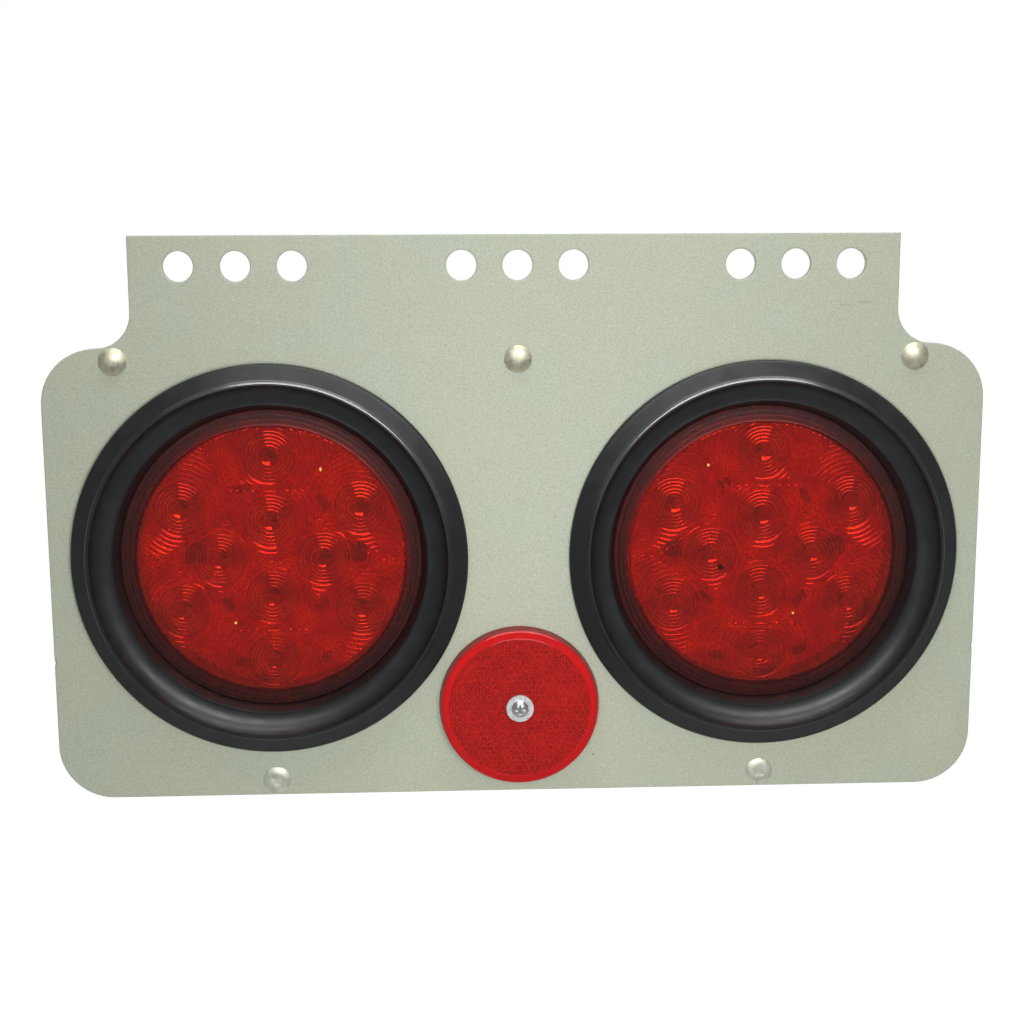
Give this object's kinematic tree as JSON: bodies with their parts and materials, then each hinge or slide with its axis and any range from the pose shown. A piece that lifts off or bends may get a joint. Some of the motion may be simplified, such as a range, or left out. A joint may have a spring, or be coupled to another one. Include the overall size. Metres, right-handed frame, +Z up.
{
  "type": "led trailer light module",
  "caption": "Painted steel plate with a drilled neck, round red LED lamps in rubber grommets and a round red reflector held by a screw.",
  "frame": {"origin": "middle bolt hole of the neck, on the back face of the mounting plate", "axes": "+X to the right as seen from the front, +Y to the back, +Z up; the lamps face -Y"},
  "size_m": [0.324, 0.0462, 0.196],
  "materials": {
    "plate_paint": "light grey-green paint, satin",
    "galvanised_steel": "galvanised sheet, dull",
    "rivet_metal": "set aluminium, softly polished",
    "grommet_rubber": "moulded black rubber, matt",
    "lamp_lens": "clear red plastic, glossy",
    "housing_plastic": "moulded black plastic",
    "board": "white solder resist",
    "led_body": "clear epoxy on a pale body",
    "chip_black": "chip resistors, dark",
    "chip_grey": "moulded diodes, dark grey",
    "contact_brass": "bright brass",
    "reflector_red": "clear red plastic over moulded prisms",
    "reflector_backing": "dark red plastic disc",
    "zinc_plating": "bright zinc plating"
  },
  "bodies": {
    "root": {"mounting_plate": "plate_paint", "backing_plate": "galvanised_steel", "rivet_top_left": "rivet_metal", "rivet_top_centre": "rivet_metal", "rivet_top_right": "rivet_metal", "rivet_bottom_left": "rivet_metal", "rivet_bottom_right": "rivet_metal", "grommet_left": "grommet_rubber", "lens_left": "lamp_lens", "housing_left": "housing_plastic", "circuit_board_left": "board", "leds_left": "led_body", "resistors_left": "chip_black", "diodes_left": "chip_grey", "contact_pins_left": "contact_brass", "grommet_right": "grommet_rubber", "lens_right": "lamp_lens", "housing_right": "housing_plastic", "circuit_board_right": "board", "leds_right": "led_body", "resistors_right": "chip_black", "diodes_right": "chip_grey", "contact_pins_right": "contact_brass", "reflector_lens": "reflector_red", "reflector_back": "reflector_backing", "reflector_washer": "zinc_plating", "reflector_screw": "zinc_plating", "reflector_rear_washer": "zinc_plating", "reflector_nut": "zinc_plating"}
  },
  "joints": []
}
